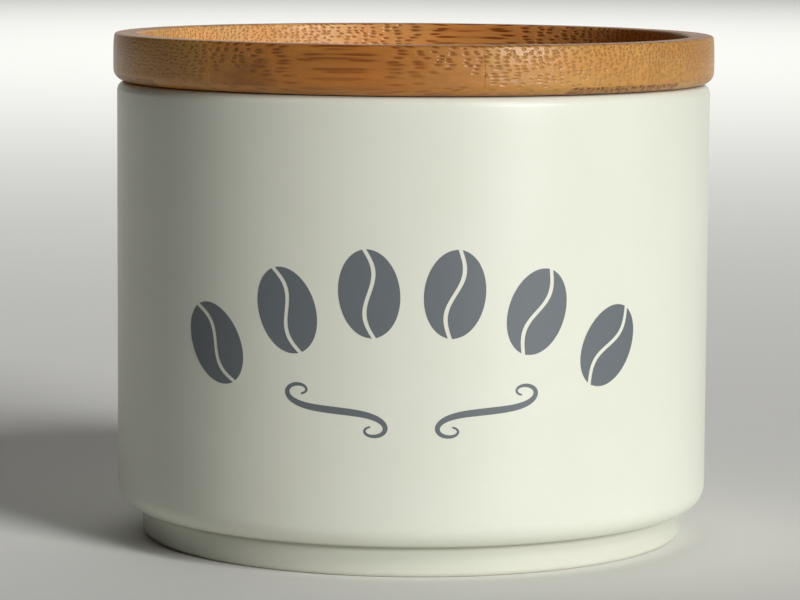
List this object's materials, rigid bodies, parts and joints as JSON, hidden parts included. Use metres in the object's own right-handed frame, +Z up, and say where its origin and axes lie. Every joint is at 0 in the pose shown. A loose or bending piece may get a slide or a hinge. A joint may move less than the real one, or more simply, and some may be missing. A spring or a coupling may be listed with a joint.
{
  "type": "stackable canister with plug lid",
  "caption": "Round glazed ceramic canister with a stepped foot and a turned bamboo plug lid, whose raised rim takes the foot of another canister stacked on it.",
  "frame": {"origin": "centre of the foot ring's underside, where the canister stands", "axes": "+Z up along the axis of revolution, -Y towards the printed front, +X to the right as seen from the front"},
  "size_m": [0.1054, 0.1054, 0.088],
  "materials": {
    "glazed_ceramic": "satin matt glaze, pale greenish ivory",
    "bamboo": "clear satin lacquer over turned laminated bamboo",
    "silicone": "translucent milky silicone"
  },
  "bodies": {
    "jar": {"jar": "glazed_ceramic"},
    "seal": {"seal_ring": "silicone"},
    "lid": {"lid_top_strip_1": "bamboo", "lid_top_strip_2": "bamboo", "lid_top_strip_3": "bamboo", "lid_top_strip_4": "bamboo", "lid_top_strip_5": "bamboo", "lid_top_strip_6": "bamboo", "lid_bottom_strip_1": "bamboo", "lid_bottom_strip_2": "bamboo", "lid_bottom_strip_3": "bamboo", "lid_bottom_strip_4": "bamboo", "lid_bottom_strip_5": "bamboo"}
  },
  "joints": [
    {"name": "lid_lift", "type": "slide", "parent": "jar", "child": "seal", "axis": [0, 0, 1], "range_m": [0, 0.1]},
    {"name": "lid_turn", "type": "hinge", "parent": "seal", "child": "lid", "pos_m": [0, 0, 0.08], "axis": [0, 0, 1], "continuous": true}
  ]
}
